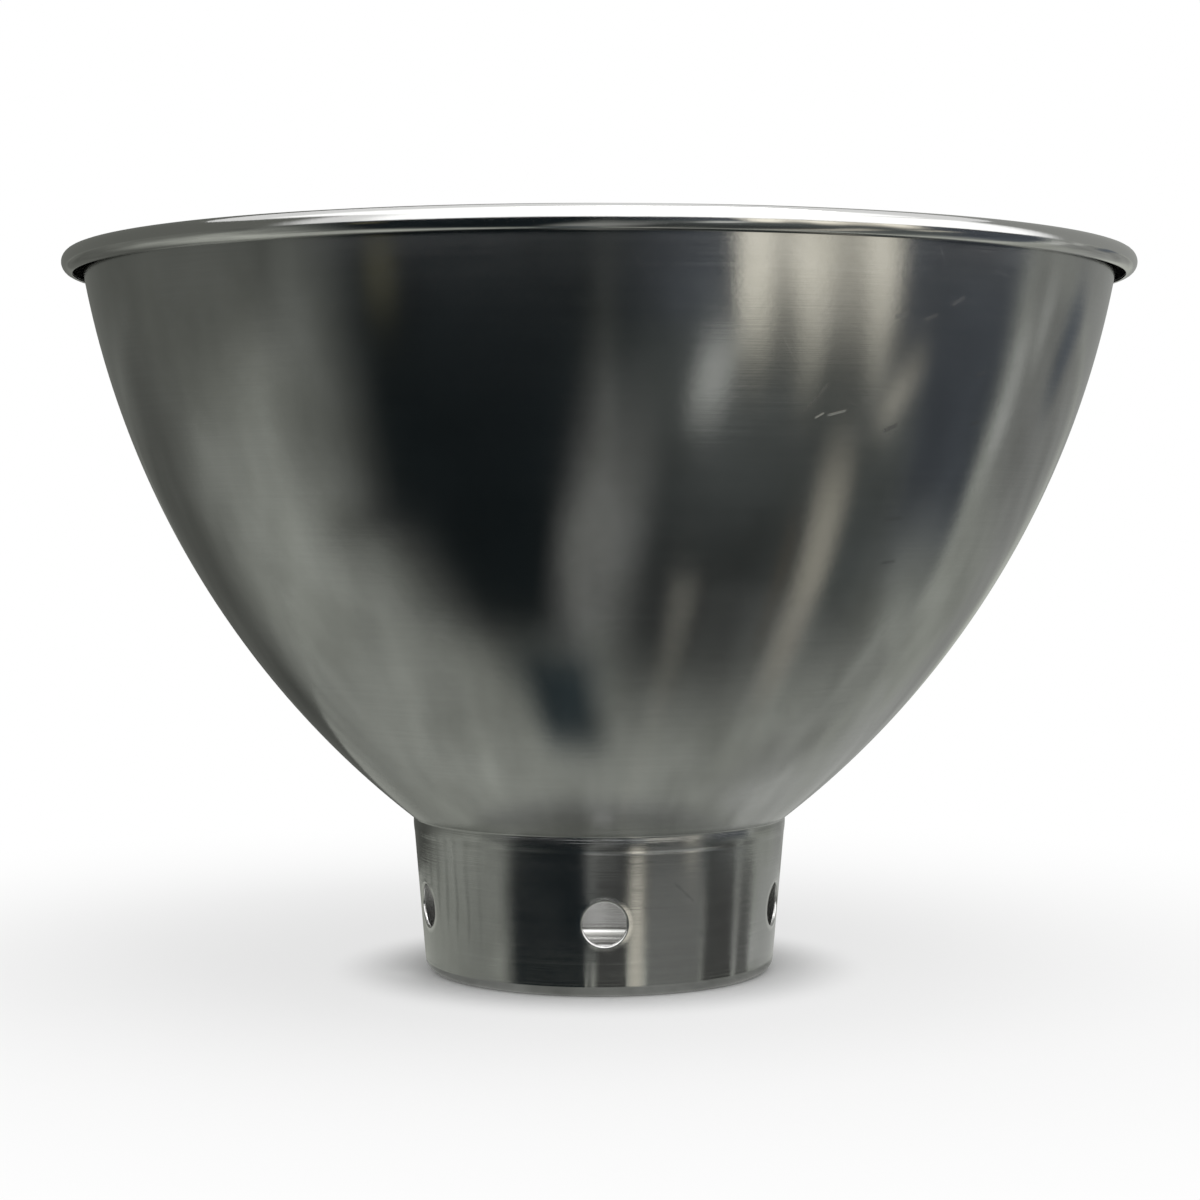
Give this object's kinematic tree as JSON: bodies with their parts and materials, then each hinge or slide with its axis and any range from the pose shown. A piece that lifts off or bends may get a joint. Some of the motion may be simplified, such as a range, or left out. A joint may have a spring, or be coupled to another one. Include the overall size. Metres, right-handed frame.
{
  "type": "spun metal bowl",
  "caption": "Deep bowl spun from thin aluminium sheet, with an outward rolled rim, a short ventilated neck and an open flat ring foot.",
  "frame": {"origin": "centre of the foot ring's underside, on the axis of spinning", "axes": "+Z along the axis from the foot up through the mouth; one vent hole faces about -Y"},
  "size_m": [0.3419, 0.342, 0.23],
  "materials": {
    "spun_aluminium": "satin, with fine lathe lines round the axis and a polished rim"
  },
  "bodies": {
    "root": {"spun_bowl": "spun_aluminium"}
  },
  "joints": []
}
